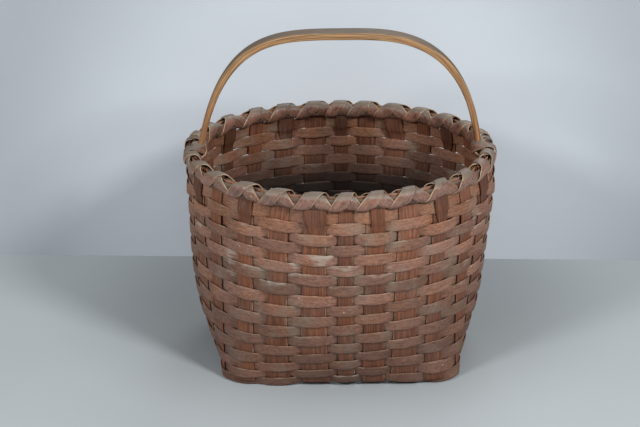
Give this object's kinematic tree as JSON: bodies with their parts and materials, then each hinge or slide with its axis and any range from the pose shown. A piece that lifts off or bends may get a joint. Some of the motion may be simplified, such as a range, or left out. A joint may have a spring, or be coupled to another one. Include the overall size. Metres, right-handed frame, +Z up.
{
  "type": "splint basket",
  "caption": "Hand-woven wooden splint basket with a square base, a round rim bound with crossed lashings and a fixed bent carrying handle.",
  "frame": {"origin": "centre of the basket's bounding box, on the plane that the base stands on", "axes": "+Z up; -Y is the side that faces the viewer of the picture; the handle's legs stand at -X and +X"},
  "size_m": [0.3156, 0.3163, 0.3258],
  "materials": {
    "splint": "aged satin",
    "weaver": "aged, dusty matt",
    "hoop": "aged satin",
    "lashing": "worn satin",
    "handle": "hand-polished satin"
  },
  "bodies": {
    "root": {"front_back_splint_1": "splint", "front_back_splint_2": "splint", "front_back_splint_3": "splint", "front_back_splint_4": "splint", "front_back_splint_5": "splint", "front_back_splint_6": "splint", "front_back_splint_7": "splint", "side_splint_1": "splint", "side_splint_2": "splint", "side_splint_3": "splint", "side_splint_4": "splint", "side_splint_5": "splint", "side_splint_6": "splint", "side_splint_7": "splint", "weaver_row_01": "weaver", "weaver_row_02": "weaver", "weaver_row_03": "weaver", "weaver_row_04": "weaver", "weaver_row_05": "weaver", "weaver_row_06": "weaver", "weaver_row_07": "weaver", "weaver_row_08": "weaver", "weaver_row_09": "weaver", "weaver_row_10": "weaver", "weaver_row_11": "weaver", "weaver_row_12": "weaver", "weaver_row_13": "weaver", "weaver_row_14": "weaver", "weaver_row_15": "weaver", "weaver_row_16": "weaver", "weaver_row_17": "weaver", "weaver_row_18": "weaver", "weaver_row_19": "weaver", "inner_rim_hoop": "hoop", "outer_rim_hoop": "hoop", "under_lashing_front": "lashing", "under_lashing_back": "lashing", "over_lashing_front": "lashing", "over_lashing_back": "lashing", "handle": "handle"}
  },
  "joints": []
}
